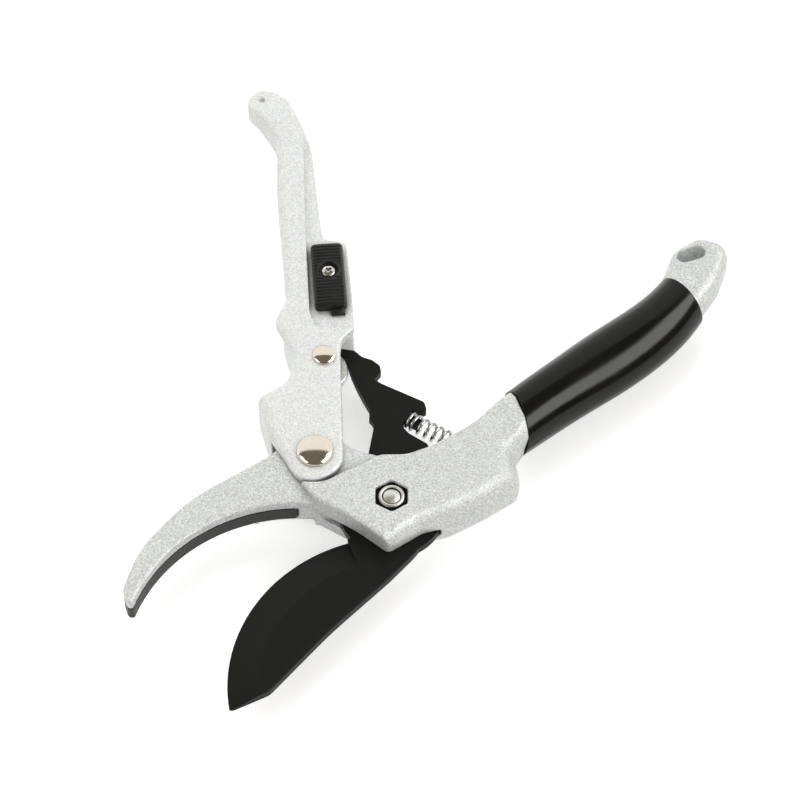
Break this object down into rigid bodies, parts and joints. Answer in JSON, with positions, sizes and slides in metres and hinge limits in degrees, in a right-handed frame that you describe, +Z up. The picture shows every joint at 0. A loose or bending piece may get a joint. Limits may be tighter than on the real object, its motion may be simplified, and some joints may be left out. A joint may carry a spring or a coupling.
{
  "type": "hand pruner",
  "caption": "Hooked hand pruner, held open by a coil spring; its left handle pushes the curved black blade through a steel roller, and a thumb slider locks it shut.",
  "frame": {"origin": "middle of the footprint, on the surface that the pruner lies on", "axes": "+X along the right handle, away from the jaws; +Z up, out of the side with the locknut"},
  "size_m": [0.2374, 0.1982, 0.0239],
  "materials": {
    "body_paint": "silver metallic paint with a fine sparkle",
    "lever_paint": "silver metallic paint with a fine sparkle",
    "insert_plastic": "matte black",
    "pin_steel": "plain steel",
    "sleeve_vinyl": "glossy black vinyl",
    "bolt_steel": "bright zinc plated",
    "bush_steel": "machined",
    "nut_steel": "zinc plated, black body and bright collar",
    "nylon": "black nylon",
    "blade_coating": "black non-stick coating on steel",
    "rivet_nickel": "bright nickel plated",
    "washer_steel": "plain steel",
    "roller_steel": "hardened and ground",
    "spacer_steel": "plain steel",
    "slider_plastic": "black, ribbed",
    "lock_steel": "stamped steel",
    "screw_steel": "bright zinc plated",
    "spring_steel": "bright spring wire"
  },
  "bodies": {
    "body": {"body_casting": "body_paint", "hook_insert": "insert_plastic", "insert_pin_inner": "pin_steel", "insert_pin_outer": "pin_steel", "handle_sleeve": "sleeve_vinyl", "pivot_bolt": "bolt_steel", "pivot_bush": "bush_steel", "pivot_nut": "nut_steel", "nut_ring": "nylon", "opening_spring": "spring_steel"},
    "blade_body": {"blade": "blade_coating"},
    "lever": {"lever_casting": "lever_paint", "main_rivet": "rivet_nickel", "main_rivet_washer": "washer_steel", "roller_rivet": "rivet_nickel", "roller_spacer_near": "spacer_steel", "roller_spacer_far": "spacer_steel"},
    "roller": {"drive_roller": "roller_steel"},
    "lock": {"lock_slider": "slider_plastic", "lock_plate": "lock_steel", "lock_screw": "screw_steel", "lock_detent_spring": "spring_steel"}
  },
  "joints": [
    {"name": "handle_pivot", "type": "hinge", "parent": "body", "child": "lever", "pos_m": [-0.04117, -0.03825, 0.0119], "axis": [0, 0, -1], "range_deg": [0, 50], "stiffness_Nm_per_rad": 0.25, "springref_deg": -34.38},
    {"name": "blade_pivot", "type": "hinge", "parent": "body", "child": "blade_body", "pos_m": [-0.03027, -0.06565, 0.0122], "axis": [0, 0, -1], "range_deg": [0, 31], "deforming": ["opening_spring"]},
    {"name": "roller_spin", "type": "hinge", "parent": "lever", "child": "roller", "pos_m": [-0.01829, -0.00866, 0.0122], "axis": [0, 0, 1], "range_deg": [-5, 170]},
    {"name": "lock_slide", "type": "slide", "parent": "lever", "child": "lock", "axis": [-0.4924, -0.8704, 0], "range_m": [0, 0.004]}
  ],
  "couplings": [
    {"joint": "blade_pivot", "follows": "handle_pivot", "ratio": 0.62},
    {"joint": "roller_spin", "follows": "handle_pivot", "ratio": 3.28}
  ]
}
